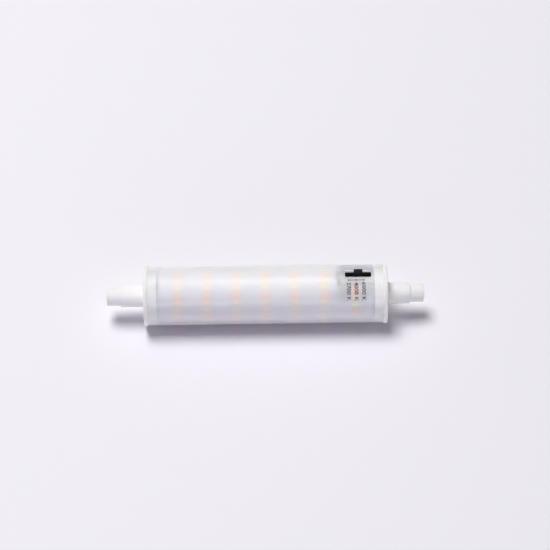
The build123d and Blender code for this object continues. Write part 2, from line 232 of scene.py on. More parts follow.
def turned(name, corners, rounds, sides, closed=True):
    """Turns an outline about the lamp's axis. Corners are (x, radius) in millimetres.

    Rounds gives the radius of each corner that is rounded, by its number in the outline.
    """
    deselect()
    bpy.ops.mesh.primitive_plane_add(size=MM, location=(corners[0][0] * MM, 0, corners[0][1] * MM))
    piece = bpy.context.object
    piece.name = name
    bpy.ops.object.transform_apply(location=True, rotation=True, scale=True)
    start_edit(piece)
    bpy.ops.mesh.merge(type="CENTER")
    path = corners + corners[:1] if closed else corners
    for (x0, r0), (x1, r1) in zip(path, path[1:]):
        step = ((x1 - x0) * MM, 0, (r1 - r0) * MM)
        bpy.ops.mesh.extrude_vertices_move(TRANSFORM_OT_translate={"value": step})
    bpy.ops.mesh.select_all(action="SELECT")
    bpy.ops.mesh.remove_doubles(threshold=NEAR)
    for number, radius in rounds.items():
        x, r = corners[number]
        corner = Vector((x * MM, 0, r * MM))
        pick(piece, "VERT", lambda vertex: (vertex.co - corner).length < NEAR)
        bpy.ops.mesh.bevel(offset=radius * MM, segments=CORNER_STEPS, affect="VERTICES")
    bpy.ops.mesh.select_all(action="SELECT")
    bpy.ops.mesh.spin(steps=sides, angle=2 * math.pi, center=(0, 0, 0), axis=(1, 0, 0))
    bpy.ops.mesh.select_all(action="SELECT")
    bpy.ops.mesh.remove_doubles(threshold=NEAR)
    bpy.ops.mesh.normals_make_consistent(inside=False)
    deselect()
    return piece


def moved_copy(piece, name, matrix):
    """A copy of a piece, whose own mesh is moved by the matrix."""
    copy = piece.copy()
    copy.data = piece.data.copy()
    copy.data.transform(matrix)
    copy.name = name
    bpy.context.scene.collection.objects.link(copy)
    return copy


def join(name, pieces):
    """Makes one piece of several."""
    deselect()
    for piece in pieces:
        piece.select_set(True)
    bpy.context.view_layer.objects.active = pieces[0]
    bpy.ops.object.join()
    pieces[0].name = name
    return pieces[0]


def faces_of(piece):
    return f"{piece.name}: {len(piece.data.polygons)} faces"


# %% [markdown]
# A finish is a small set of nodes. One function turns a colour written as in a paint program into
# the linear colour that the renderer uses, and one adds a node, with its settings, its values and
# its links. Most moulded surfaces share one recipe: a fine noise shifts the colour and the
# roughness a little and raises a low relief.

# %% Helpers for finishes
def colour(code):
    """An sRGB hex colour as linear red, green, blue and alpha."""
    values = [int(code[i:i + 2], 16) / 255 for i in (1, 3, 5)]
    linear = [v / 12.92 if v <= 0.04045 else ((v + 0.055) / 1.055) ** 2.4 for v in values]
    return (*linear, 1.0)


def add(tree, kind, inputs, **settings):
    """Adds a node. An input is a value, or another node's output, which is then linked."""
    node = tree.nodes.new(kind)
    for name, value in settings.items():
        setattr(node, name, value)
    for name, value in inputs.items():
        if isinstance(value, bpy.types.NodeSocket):
            tree.links.new(value, node.inputs[name])
        else:
            node.inputs[name].default_value = value
    return node


def finish(name, **constants):
    """A new material, its nodes, its shader and its object coordinates."""
    material = bpy.data.materials.new(name)
    material.use_nodes = True
    tree = material.node_tree
    shader = tree.nodes["Principled BSDF"]
    for socket, value in constants.items():
        shader.inputs[socket.replace("_", " ")].default_value = value
    place = add(tree, "ShaderNodeTexCoord", {}).outputs["Object"]
    return material, tree, shader, place


def mottled(name, shades, grain, roughness, relief=0.0, **constants):
    """A finish with a fine grain, in millimetres, between two shades and two values of roughness."""
    material, tree, shader, place = finish(name, **constants)
    noise = add(tree, "ShaderNodeTexNoise", {"Vector": place, "Scale": 1 / (grain * MM), "Detail": 3.0})
    grey = noise.outputs["Fac"]
    blend = add(
        tree, "ShaderNodeMix", {0: grey, 6: colour(shades[0]), 7: colour(shades[1])}, data_type="RGBA"
    )
    rough = add(
        tree, "ShaderNodeMapRange", {"Value": grey, "To Min": roughness[0], "To Max": roughness[1]}
    )
    tree.links.new(blend.outputs[2], shader.inputs["Base Color"])
    tree.links.new(rough.outputs[0], shader.inputs["Roughness"])
    if relief:
        bump = add(tree, "ShaderNodeBump", {"Height": grey, "Distance": relief * MM, "Strength": 1.0})
        tree.links.new(bump.outputs[0], shader.inputs["Normal"])
    return material


def dress(piece, material, body, slot, *replaced):
    """Gives a piece its finish and its body, and hides the nodes that it stands for."""
    piece.data.materials.clear()
    piece.data.materials.append(material)
    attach(piece, body)
    if replaced:
        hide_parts(*replaced)
    print(faces_of(piece))


# %% [markdown]
# ## The milky tube
# The tube is extruded polycarbonate with a little white pigment. Its skin is glossy, so it mirrors
# the softbox with a sharp edge, while the wall scatters light: the LEDs show through as pale dots.
# A ray meets two surfaces in the wall, and alpha says how much each one veils what lies behind. A
# slanting ray has a longer way through the wall, so the veil thickens towards the rim. Where the
# slot is cut, the eye looks along the wall, so those faces are solid from outside, and from inside
# the wall they don't show. The veil is light that wanders through the wall, so it scatters below
# the surface. Alpha thins the gloss as well, so the clear coat gets a high index to make up for it.
# Extrusion leaves faint streaks along the tube, about half a millimetre wide, which the noise draws
# by stretching along X.
#
# What touches the wall changes how it glows. Over a cap's white sleeve it lets less through, and it
# is painted whiter and given a faint painted glow for the light that the sleeve sends back, and its
# coat is thinned to keep the gloss. Round the switch no white strip sends the light back, so the wall
# behind the slot is painted greyer, as painted shade, and a thicker veil softens what shows in front
# of it. And where the wall is cut, some of the light that wanders in it would come out, so the cut
# gets a painted glow as a bright lip.

# %% Milky polycarbonate, extruded
STREAK_WIDTH = 0.5
STREAK_LENGTH = 60
STREAK_DEPTH = 0.002
VEIL = 0.3
VEIL_CURVE = 1.8
WALL_ROUGHNESS = (0.2, 0.26)
CUT_TURN = (0.97, 0.8)

milky, tree, shader, place = finish(
    "milky polycarbonate, extruded",
    IOR=1.4,
    Specular_IOR_Level=0.0,
    Subsurface_Weight=1.0,
    Subsurface_Radius=(1.0, 1.0, 1.0),
    Subsurface_Scale=0.5 * MM,
    Coat_Roughness=0.04,
    # The emission colour is for the painted glow of the cut lip and over the sleeves.
    Emission_Color=colour("#fffaf2"),
    Coat_IOR=2.35,
)
stretch = add(
    tree, "ShaderNodeMapping", {"Vector": place, "Scale": (STREAK_WIDTH / STREAK_LENGTH, 1, 1)}
)
streaks = add(
    tree,
    "ShaderNodeTexNoise",
    {"Vector": stretch.outputs[0], "Scale": 1 / (STREAK_WIDTH * MM), "Detail": 2.0},
)
ends = {"To Min": WALL_ROUGHNESS[0], "To Max": WALL_ROUGHNESS[1]}
rough = add(tree, "ShaderNodeMapRange", {"Value": streaks.outputs["Fac"], **ends})
bump = add(tree, "ShaderNodeBump", {"Height": streaks.outputs["Fac"], "Distance": STREAK_DEPTH * MM})
slant = add(tree, "ShaderNodeLayerWeight", {"Blend": 0.5})
slant = add(tree, "ShaderNodeMath", {0: slant.outputs["Facing"], 1: VEIL_CURVE}, operation="POWER")
veil = add(tree, "ShaderNodeMapRange", {"Value": slant.outputs[0], "To Min": VEIL, "To Max": 1.0})
spoke = add(tree, "ShaderNodeVectorMath", {0: place, 1: (0, 1, 1)}, operation="MULTIPLY")
spoke = add(tree, "ShaderNodeVectorMath", {0: spoke.outputs[0]}, operation="NORMALIZE")
face = add(tree, "ShaderNodeNewGeometry", {}).outputs
outward = add(
    tree, "ShaderNodeVectorMath", {0: spoke.outputs[0], 1: face["True Normal"]}, operation="DOT_PRODUCT"
)
outward = add(tree, "ShaderNodeMath", {0: outward.outputs["Value"]}, operation="ABSOLUTE")
ends = {"From Min": CUT_TURN[0], "From Max": CUT_TURN[1]}
cut = add(tree, "ShaderNodeMapRange", {"Value": outward.outputs[0], **ends})
front = add(tree, "ShaderNodeMath", {0: 1.0, 1: face["Backfacing"]}, operation="SUBTRACT")
ends = {"To Min": veil.outputs[0], "To Max": front.outputs[0]}
haze = add(tree, "ShaderNodeMapRange", {"Value": cut.outputs[0], **ends})
tree.links.new(rough.outputs[0], shader.inputs["Roughness"])
tree.links.new(bump.outputs[0], shader.inputs["Normal"])
print(milky.name)

# %% Wall over the sleeves and round the switch
COLLAR_EDGE = (39.5, 40.3)
COLLAR_VEIL = 0.5
COLLAR_COAT = 0.9
COLLAR_PAINTED_GLOW = 0.035
PATCH_X = (25.5, 28.5)
PATCH_Z = (2.0, 5.0)
PATCH_VEIL = 0.1
PATCH_VEIL_Y = (-6.0, -3.6)
PAINTED_SHADE_Y = (-1.5, 1.5)
CUT_PAINTED_GLOW = 0.4


def fade(value, start, end):
    """Rises from 0 at start to 1 at end, both in mm, in the finish at hand."""
    ends = {"From Min": start * MM, "From Max": end * MM}
    return add(tree, "ShaderNodeMapRange", {"Value": value, **ends}).outputs[0]


def zone(factor, *fades):
    """Multiplies a factor by fades, each with its coordinate, start and end."""
    for value, start, end in fades:
        pair = {0: factor, 1: fade(value, start, end)}
        factor = add(tree, "ShaderNodeMath", pair, operation="MULTIPLY").outputs[0]
    return factor


def share(socket, factor, low, high):
    """Takes a socket of the shader at hand from low to high as the factor rises."""
    mix = add(tree, "ShaderNodeMapRange", {"Value": factor, "To Min": low, "To Max": high})
    tree.links.new(mix.outputs[0], shader.inputs[socket])


x, y, z = add(tree, "ShaderNodeSeparateXYZ", {"Vector": place}).outputs
from_middle = add(tree, "ShaderNodeMath", {0: x}, operation="ABSOLUTE").outputs[0]
collar = fade(from_middle, *COLLAR_EDGE)
uncut = add(tree, "ShaderNodeMath", {0: 1.0, 1: cut.outputs[0]}, operation="SUBTRACT").outputs[0]
patch = zone(uncut, (x, *PATCH_X), (x, *reversed(COLLAR_EDGE)), (z, *PATCH_Z))
in_front = zone(patch, (y, *PATCH_VEIL_Y))
painted_shade_behind_slot = zone(patch, (y, *PAINTED_SHADE_Y))

alpha = haze.outputs[0]
for factor, most, operation in ((collar, COLLAR_VEIL, "MAXIMUM"), (in_front, PATCH_VEIL, "ADD")):
    extra = add(tree, "ShaderNodeMath", {0: factor, 1: most}, operation="MULTIPLY")
    pair = {0: alpha, 1: extra.outputs[0]}
    alpha = add(tree, "ShaderNodeMath", pair, operation=operation, use_clamp=True).outputs[0]
tree.links.new(alpha, shader.inputs["Alpha"])
share("Coat Weight", collar, 1.0, COLLAR_COAT)
# Painted glow: a faint one over the sleeves and a stronger one on the cut faces, as a bright lip.
collar_painted_glow = add(tree, "ShaderNodeMath", {0: collar, 1: COLLAR_PAINTED_GLOW}, operation="MULTIPLY")
share("Emission Strength", cut.outputs[0], collar_painted_glow.outputs[0], CUT_PAINTED_GLOW)
# Painted tints: whiter over the sleeves, for the light they send back, and grey behind the slot, as painted
# shade where no strip sends light back.
tint = colour("#f9faff")
for factor, other in ((collar, "#ffffff"), (painted_shade_behind_slot, "#c8cad6")):
    mix = add(tree, "ShaderNodeMix", {0: factor, 6: tint, 7: colour(other)}, data_type="RGBA")
    tint = mix.outputs[2]
tree.links.new(tint, shader.inputs["Base Color"])
print(len(tree.nodes), "nodes in the wall's finish")

# %% [markdown]
# The tube starts as an open cylinder. Solidify gives it a wall that grows inwards, a rounded block
# cuts the slot for the switch, and a small bevel takes the sharpness off the edges. Two cuts across
# the tube beside the slot keep the many-sided faces that the slot leaves short, so that they shade
# cleanly. A block that cuts reaches a little past the piece, so that no two faces lie in one plane.

# %% Tube with its slot
TUBE_RADIUS = 10.8
TUBE_WALL = 1.0
TUBE_SIDES = 160
SLOT_EDGE = 0.1
SLOT_SIZE = (9.7, 3.2)
SLOT_CORNER = 0.4
SLOT_CORNER_STEPS = 6
PAST = 1


def span(size, middle=0):
    """The two ends of a length about its middle."""
    return (middle - size / 2, middle + size / 2)


tube_x = [corner.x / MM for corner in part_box("diffuser_tube")]
switch_x = sum(corner.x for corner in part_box("switch_slider")) / 2 / MM
slot_x = span(SLOT_SIZE[0], switch_x)
slot_z = (TUBE_RADIUS - 3 * TUBE_WALL, TUBE_RADIUS + PAST)

tube = new_cylinder("diffuser", TUBE_RADIUS, tube_x, TUBE_SIDES)
for x in (slot_x[0] - SLOT_SIZE[1], slot_x[1] + SLOT_SIZE[1]):
    bisect_at(tube, (x, 0, 0), (1, 0, 0))
apply_modifier(tube, "SOLIDIFY", thickness=TUBE_WALL * MM, offset=-1)
tool = new_block("slot tool", slot_x, span(SLOT_SIZE[1]), slot_z)
start_edit(tool)
pick(tool, "EDGE", upright)
bpy.ops.mesh.bevel(offset=SLOT_CORNER * MM, segments=SLOT_CORNER_STEPS)
deselect()
combine(tube, tool, "DIFFERENCE")
round_edges(tube, SLOT_EDGE)
dress(tube, milky, "lamp", "milky_plastic", "diffuser_tube")

# %% [markdown]
# ## The end caps
# Each cap is one moulding of white PBT, a plastic that takes the heat of a lamp holder. It is a
# little translucent, which warms its shaded parts, so the shader scatters some light below the
# surface. The mould was lightly textured, and that grain is about a quarter of a millimetre.

# %% White PBT, moulded
CAP_GRAIN = 0.25

white_pbt = mottled(
    "white PBT, moulded satin",
    ("#f2efed", "#f6f5f4"),
    CAP_GRAIN,
    (0.5, 0.6),
    relief=0.003,
    IOR=1.5,
    Subsurface_Weight=0.35,
    Subsurface_Radius=(1.0, 0.7, 0.5),
    Subsurface_Scale=0.8 * MM,
)
print(white_pbt.name)

# %% [markdown]
# A cap is round, so its outline is drawn once as a closed line, from the recess at the tip over the
# stub and the flange to the sleeve and the spigot inside the tube, and then spun about the axis.
# The corners are rounded on the line, before the spin, as a turner would break the edges. Two rails
# for the driver board are cut from a cylinder and joined on, and the left cap is the right one
# turned half round.

# %% Right cap, spun
TIP_X, STEP_X, FLANGE_OUT_X, FLANGE_IN_X = 58.8, 53.7, 45.0, 43.6
SLEEVE_X, SPIGOT_X = 40.0, 36.3
RECESS_X, POCKET_X, CAVITY_X = 57.1, 56.3, 50.8
TIP_RADIUS, STUB_RADIUS, FLANGE_RADIUS = 3.4, 4.0, 11.1
SLEEVE_RADII = (9.75, 8.55)
SPIGOT_RADII = (8.0, 7.0)
RECESS_RADIUS, POCKET_RADIUS, STEM_BORE_RADIUS, CAVITY_RADIUS = 2.2, 1.85, 1.15, 2.6

cap_outline = [
    (RECESS_X, POCKET_RADIUS),
    (RECESS_X, RECESS_RADIUS),
    (TIP_X, RECESS_RADIUS),
    (TIP_X, TIP_RADIUS),
    (STEP_X, TIP_RADIUS),
    (STEP_X, STUB_RADIUS),
    (FLANGE_OUT_X, STUB_RADIUS),
    (FLANGE_OUT_X, FLANGE_RADIUS),
    (FLANGE_IN_X, FLANGE_RADIUS),
    (FLANGE_IN_X, SLEEVE_RADII[0]),
    (SLEEVE_X, SLEEVE_RADII[0]),
    (SLEEVE_X, SLEEVE_RADII[1]),
    (FLANGE_IN_X, SLEEVE_RADII[1]),
    (FLANGE_IN_X, SPIGOT_RADII[0]),
    (SPIGOT_X, SPIGOT_RADII[0]),
    (SPIGOT_X, SPIGOT_RADII[1]),
    (FLANGE_IN_X, SPIGOT_RADII[1]),
    (FLANGE_IN_X, CAVITY_RADIUS),
    (CAVITY_X, CAVITY_RADIUS),
    (CAVITY_X, STEM_BORE_RADIUS),
    (POCKET_X, STEM_BORE_RADIUS),
    (POCKET_X, POCKET_RADIUS),
]
cap_rounds = {2: 0.12, 3: 0.25, 5: 0.25, 6: 0.4, 7: 0.35, 10: 0.15, 11: 0.15, 14: 0.15, 15: 0.15}
right_cap = turned("cap_right", cap_outline, cap_rounds, TUBE_SIDES)
print(faces_of(right_cap))

# %% Rails for the driver board, and the room for the switch
RAIL_Z = (1.8, 4.6)
RAIL_INNER_Y = 4.7
GROOVE_Y = 5.75
GROOVE_Z = (2.65, 3.75)
RAIL_ROOT = 0.5
SWITCH_ROOM_Y = (-3.6, 3.6)
SWITCH_ROOM_Z = (5.0, SLEEVE_RADII[0])
HALF_TURN = Matrix.Rotation(math.pi, 4, "Z")

for side in (-1, 1):
    rail_x = (SPIGOT_X, FLANGE_IN_X + RAIL_ROOT)
    rail = new_cylinder("rail", SPIGOT_RADII[1] + RAIL_ROOT, rail_x, TUBE_SIDES, ends="NGON")
    bisect_at(rail, (0, 0, RAIL_Z[0]), (0, 0, -1), use_fill=True, clear_outer=True)
    bisect_at(rail, (0, 0, RAIL_Z[1]), (0, 0, 1), use_fill=True, clear_outer=True)
    bisect_at(rail, (0, side * RAIL_INNER_Y, 0), (0, -side, 0), use_fill=True, clear_outer=True)
    combine(right_cap, rail, "UNION")
groove = new_block("groove", (SPIGOT_X - PAST, FLANGE_IN_X), (-GROOVE_Y, GROOVE_Y), GROOVE_Z)
combine(right_cap, groove, "DIFFERENCE")
room = new_block("switch room", (SPIGOT_X - PAST, SLEEVE_X), SWITCH_ROOM_Y, SWITCH_ROOM_Z)
combine(right_cap, room, "DIFFERENCE")
smooth(right_cap)
left_cap = moved_copy(right_cap, "cap_left", HALF_TURN)
dress(right_cap, white_pbt, "lamp", "cap_plastic", "right_end_cap")
dress(left_cap, white_pbt, "lamp", "cap_plastic", "left_end_cap")

# %% [markdown]
# ## The contacts
# In each recess sits a contact of brass with a nickel plate. Nickel is a warm grey metal, and a
# turned button shows fine rings from the tool. The rings come from the distance to the axis, so
# they follow the turning.

# %% Nickel-plated brass, turned
RING_WIDTH = 0.12
RING_ROUGHNESS = (0.22, 0.34)

nickel, tree, shader, place = finish("nickel-plated brass, turned", Metallic=1.0)
rings = add(
    tree,
    "ShaderNodeTexWave",
    {"Vector": place, "Scale": 1 / (RING_WIDTH * MM) / (2 * math.pi), "Distortion": 0.6, "Detail": 1.0},
    wave_type="RINGS",
    rings_direction="X",
)
tone = add(
    tree,
    "ShaderNodeMix",
    {0: rings.outputs["Fac"], 6: colour("#b9b2a6"), 7: colour("#cfc9bf")},
    data_type="RGBA",
)
tree.links.new(tone.outputs[2], shader.inputs["Base Color"])
share("Roughness", rings.outputs["Fac"], *RING_ROUGHNESS)
print(nickel.name)

# %% Contacts, spun
HEAD_RADIUS, STEM_RADIUS, CUP_RADIUS = 1.8, 1.1, 0.6
STEM_END_X, CUP_END_X = 48.7, 50.3
HEAD_DOME = 0.12
CONTACT_SIDES = 64

contact_outline = [
    (RECESS_X, 0),
    (RECESS_X - HEAD_DOME / 4, HEAD_RADIUS / 2),
    (RECESS_X - HEAD_DOME, HEAD_RADIUS),
    (POCKET_X, HEAD_RADIUS),
    (POCKET_X, STEM_RADIUS),
    (STEM_END_X, STEM_RADIUS),
    (STEM_END_X, CUP_RADIUS),
    (CUP_END_X, CUP_RADIUS),
    (CUP_END_X, 0),
]
contact_rounds = {2: 0.15, 5: 0.1}
right_contact = turned("contact_right", contact_outline, contact_rounds, CONTACT_SIDES, closed=False)
smooth(right_contact)
left_contact = moved_copy(right_contact, "contact_left", HALF_TURN)
dress(right_contact, nickel, "lamp", "nickel", "right_contact")
dress(left_contact, nickel, "lamp", "nickel", "left_contact")

# %% [markdown]
# ## The LED strip
# The LEDs sit on a thin board with a white solder mask, rolled to a cylinder. Copper tracks under
# the mask show as slightly raised bands that run along the lamp, one between each two rows of LEDs.
# The bands come from the angle round the axis, worked out from the coordinates. Round the switch
# the strip is painted greyer, with soft edges, as painted shade from the switch, and a painted
# shadow lies as a grey spot beside the print.

# %% White solder mask over copper tracks
LEDS_PER_RING = 21
TRACK_SHARE = 0.3
TRACK_HEIGHT = 0.03
STRIP_ROUGHNESS = (0.45, 0.38)
NOTCH_SHADE_X = (22.5, 28.5)
NOTCH_SHADE_SIDE = (8.3, 6.9)
NOTCH_SHADE_Z = (0.0, 2.0)
SHADOW_SPOT_PLACE = Vector((28.4, -6.1, 6.4))
SHADOW_SPOT_RADIUS = 4.0

strip_white, tree, shader, place = finish("white solder mask, screen printed", IOR=1.5)
x, y, z = add(tree, "ShaderNodeSeparateXYZ", {"Vector": place}).outputs
angle = add(tree, "ShaderNodeMath", {0: y, 1: z}, operation="ARCTAN2")
count = add(
    tree, "ShaderNodeMath", {0: angle.outputs[0], 1: LEDS_PER_RING / (2 * math.pi)}, operation="MULTIPLY"
)
across = add(tree, "ShaderNodeMath", {0: count.outputs[0], 1: 0.5}, operation="PINGPONG")
track = add(tree, "ShaderNodeMath", {0: across.outputs[0], 1: TRACK_SHARE / 2}, operation="LESS_THAN")
shade = add(
    tree,
    "ShaderNodeMix",
    {0: track.outputs[0], 6: colour("#f5f6fd"), 7: colour("#f9faff")},
    data_type="RGBA",
)
sideways = add(tree, "ShaderNodeMath", {0: y}, operation="ABSOLUTE").outputs[0]
# Painted shade: the strip is greyer round the notch, where the switch shades it.
painted_notch_shade = zone(fade(z, *NOTCH_SHADE_Z), (x, *NOTCH_SHADE_X), (sideways, *NOTCH_SHADE_SIDE))
# Painted shadow: a grey spot beside the print.
shadow_spot_distance = add(tree, "ShaderNodeVectorMath", {0: place, 1: SHADOW_SPOT_PLACE * MM}, operation="DISTANCE")
painted_shadow_spot = fade(shadow_spot_distance.outputs["Value"], SHADOW_SPOT_RADIUS, 0.0)
for factor, grey in ((painted_notch_shade, "#d3d5df"), (painted_shadow_spot, "#8c8e99")):
    pair = {6: shade.outputs[2], 7: colour(grey)}
    shade = add(tree, "ShaderNodeMix", {0: factor, **pair}, data_type="RGBA")
bump = add(tree, "ShaderNodeBump", {"Height": track.outputs[0], "Distance": TRACK_HEIGHT * MM})
tree.links.new(shade.outputs[2], shader.inputs["Base Color"])
tree.links.new(bump.outputs[0], shader.inputs["Normal"])
share("Roughness", track.outputs[0], *STRIP_ROUGHNESS)
print(strip_white.name)

# %% Strip, rolled and cut away round the switch
STRIP_RADIUS = 8.85
STRIP_THICKNESS = 0.8
NOTCH_START_X = 26.25
SEAM_WIDTH = 0.2

strip_x = [corner.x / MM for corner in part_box("led_board")]
strip = new_cylinder("led_strip", STRIP_RADIUS, strip_x, TUBE_SIDES)
apply_modifier(strip, "SOLIDIFY", thickness=STRIP_THICKNESS * MM, offset=-1)
top_z = (SWITCH_ROOM_Z[0], STRIP_RADIUS + PAST)
notch = new_block("notch", (NOTCH_START_X, strip_x[1] + PAST), SWITCH_ROOM_Y, top_z)
combine(strip, notch, "DIFFERENCE")
seam = new_block("seam", (strip_x[0] - PAST, strip_x[1] + PAST), span(SEAM_WIDTH), top_z)
combine(strip, seam, "DIFFERENCE")
smooth(strip)
dress(strip, strip_white, "lamp", "board_white", "led_board")

# %% [markdown]
# Each LED is a small white moulding with a pocket, filled with silicone that holds the phosphor.
# The phosphor sets the colour of the light, and unlit it shows as orange, amber or a paler yellow.
# It also turns the blue in the room's light into its own colour, so it looks brighter than a paint
# could, and a faint glow stands for that. The milky wall also blurs what lies behind it, which
# alpha can't do, so a filling pales towards its rim. The rim is an attribute of the mesh, 1 on a
# filling's outer corners and 0 on the inner ones.
#
# One package and one filling are modelled, and copies of them are set round the strip in rings of
# 21, the three colours taking turns. Beside the switch the ring is turned by half a step, and the
# LEDs that the notch would cut are left out.

# %% Finishes of the LEDs
PHOSPHOR_GRAIN = 0.35
GLOW = 0.32
RIM_WHITE = 0.38

led_white = mottled("white PPA, moulded", ("#fafafd", "#fdfdff"), 0.3, (0.45, 0.6), IOR=1.5)
phosphors = {}
for name, tint, shades in (
    ("warm", "orange", ("#ffa234", "#ffac40")),
    ("neutral", "amber", ("#ffc440", "#ffcc50")),
    ("cool", "yellow", ("#f4de80", "#f8e690")),
):
    phosphor = mottled(
        f"{tint} phosphor in silicone",
        shades,
        PHOSPHOR_GRAIN,
        (0.3, 0.4),
        IOR=1.41,
        Emission_Color=colour(shades[0]),
    )
    tree = phosphor.node_tree
    shader = tree.nodes["Principled BSDF"]
    grained = shader.inputs["Base Color"].links[0].from_socket
    rim = add(tree, "ShaderNodeAttribute", {}, attribute_name="rim").outputs["Fac"]
    pale = add(tree, "ShaderNodeMath", {0: rim, 1: RIM_WHITE}, operation="MULTIPLY").outputs[0]
    pair = {6: grained, 7: colour("#fdfdff")}
    blend = add(tree, "ShaderNodeMix", {0: pale, **pair}, data_type="RGBA")
    tree.links.new(blend.outputs[2], shader.inputs["Base Color"])
    share("Emission Strength", pale, GLOW, 0.0)
    phosphors[name] = phosphor
print([material.name for material in phosphors.values()])

# %% One LED
LED_SIZE = (3.2, 2.2, 0.6)
PHOSPHOR_SIZE = (2.7, 1.7, 0.15)
MENISCUS = 0.04
LED_EDGE = 0.12
RIM_WIDTH = 0.5
LED_TOP = STRIP_RADIUS + LED_SIZE[2]


def chamfered_block(name, size):
    """A block whose top is the LED's, with its upright edges chamfered and its top selected."""
    piece = new_block(name, span(size[0]), span(size[1]), (LED_TOP - size[2], LED_TOP))
    start_edit(piece)
    pick(piece, "EDGE", upright)
    bpy.ops.mesh.bevel(offset=LED_EDGE * MM, segments=1)
    pick(piece, "FACE", level)
    return piece


package = chamfered_block("package", LED_SIZE)
bpy.ops.mesh.inset(thickness=(LED_SIZE[0] - PHOSPHOR_SIZE[0]) / 2 * MM)
bpy.ops.mesh.extrude_region_move(TRANSFORM_OT_translate={"value": (0, 0, -PHOSPHOR_SIZE[2] * MM)})
deselect()

filling = chamfered_block("filling", PHOSPHOR_SIZE)
bpy.ops.mesh.inset(thickness=RIM_WIDTH * MM)
bpy.ops.transform.translate(value=(0, 0, -MENISCUS * MM))
deselect()
rim = filling.data.attributes.new("rim", "FLOAT", "POINT")
for vertex in filling.data.vertices:
    inset = PHOSPHOR_SIZE[1] / 2 - abs(vertex.co.y) / MM
    rim.data[vertex.index].value = 0.0 if inset > RIM_WIDTH / 2 else 1.0
print(faces_of(package), faces_of(filling))

# %% Rings of LEDs
RING_PITCH = 10.8
FIRST_RING_X = -32.4
RING_COUNT = 6
SWITCH_RING_X = 33.25
SWITCH_RING_SKIPS = (0, 1, 20)
COLOURS = ("neutral", "cool", "warm")
STEP = 2 * math.pi / LEDS_PER_RING

led_places = []
for i in range(LEDS_PER_RING):
    name = COLOURS[i % len(COLOURS)]
    for ring in range(RING_COUNT):
        led_places.append((FIRST_RING_X + ring * RING_PITCH, (i + 0.5) * STEP, name))
    if i not in SWITCH_RING_SKIPS:
        led_places.append((SWITCH_RING_X, i * STEP, name))


def set_round(name, pattern, places):
    """Copies a pattern to its places round the strip and joins the copies."""
    copies = []
    for x, turn, _ in places:
        matrix = Matrix.Translation((x * MM, 0, 0)) @ Matrix.Rotation(turn, 4, "X")
        copies.append(moved_copy(pattern, name, matrix))
    return join(name, copies)


packages = set_round("led_packages_dressed", package, led_places)
dress(packages, led_white, "lamp", "led_white", "led_packages")
for name, material in phosphors.items():
    dots = set_round(f"{name}_dots", filling, [led for led in led_places if led[2] == name])
    dress(dots, material, "lamp", f"{name}_phosphor", f"{name}_phosphor")
bpy.data.objects.remove(package)
bpy.data.objects.remove(filling)

# %% [markdown]
# ## The switch
# The slide switch is black nylon. Its shell stands under the slot, and its knob comes up through
# the slot and rides on the slider. Nylon from a mould is nearly black with a soft sheen, and its
# grain is finer than a tenth of a millimetre, drawn here a little coarser so that it shows.

# %% Black nylon, moulded
NYLON_GRAIN = 0.15

black_nylon = mottled(
    "black nylon, moulded",
    ("#050506", "#0a0a0c"),
    NYLON_GRAIN,
    (0.45, 0.6),
    relief=0.004,
    IOR=1.53,
    Specular_IOR_Level=0.12,
)
print(black_nylon.name)

# %% Shell of the switch
SHELL_WALL, SHELL_TOP_WALL = 0.5, 0.8
SHELL_SLOT = (9.4, 2.2)
SHELL_EDGE = 0.12

low, high = [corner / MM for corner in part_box("switch_housing")]
shell = new_block("switch_shell", (low.x, high.x), (low.y, high.y), (low.z, high.z))
hollow = new_block(
    "hollow",
    (low.x + SHELL_WALL, high.x - SHELL_WALL),
    (low.y + SHELL_WALL, high.y - SHELL_WALL),
    (low.z - PAST, high.z - SHELL_TOP_WALL),
)
combine(shell, hollow, "DIFFERENCE")
opening_x, opening_y = span(SHELL_SLOT[0], switch_x), span(SHELL_SLOT[1])
opening = new_block("opening", opening_x, opening_y, (low.z, high.z + PAST))
combine(shell, opening, "DIFFERENCE")
round_edges(shell, SHELL_EDGE)
dress(shell, black_nylon, "lamp", "switch_black", "switch_housing")

# %% Slider with its knob
KNOB_SIZE = (3.2, 2.0)
KNOB_ROUND = 0.3
FOOT_TOP_Z, FOOT_THICKNESS = 7.8, 1.3
GROOVE_WIDTH, GROOVE_DEPTH, RIDGE_WIDTH = 0.35, 0.18, 0.7

low, high = [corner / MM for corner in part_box("switch_slider")]
knob_z = (FOOT_TOP_Z - FOOT_THICKNESS / 2, high.z)
knob = new_block("switch_knob", span(KNOB_SIZE[0], switch_x), span(KNOB_SIZE[1]), knob_z)
start_edit(knob)
pick(knob, "FACE", level)
bpy.ops.mesh.region_to_loop()
bpy.ops.mesh.bevel(offset=KNOB_ROUND * MM, segments=CORNER_STEPS)
deselect()
for side in (-1, 1):
    for edge in (RIDGE_WIDTH / 2, RIDGE_WIDTH / 2 + GROOVE_WIDTH):
        bisect_at(knob, (switch_x + side * edge, 0, 0), (1, 0, 0))
start_edit(knob)


def in_groove(face):
    offset = abs(face.calc_center_median().x / MM - switch_x)
    return level(face) and RIDGE_WIDTH / 2 < offset < RIDGE_WIDTH / 2 + GROOVE_WIDTH


pick(knob, "FACE", in_groove)
bpy.ops.mesh.extrude_region_move(TRANSFORM_OT_translate={"value": (0, 0, -GROOVE_DEPTH * MM)})
deselect()
foot = new_block("foot", (low.x, high.x), (low.y, high.y), (FOOT_TOP_Z - FOOT_THICKNESS, FOOT_TOP_Z))
combine(knob, foot, "UNION")
smooth(knob)
dress(knob, black_nylon, "slider", "switch_black", "switch_slider")

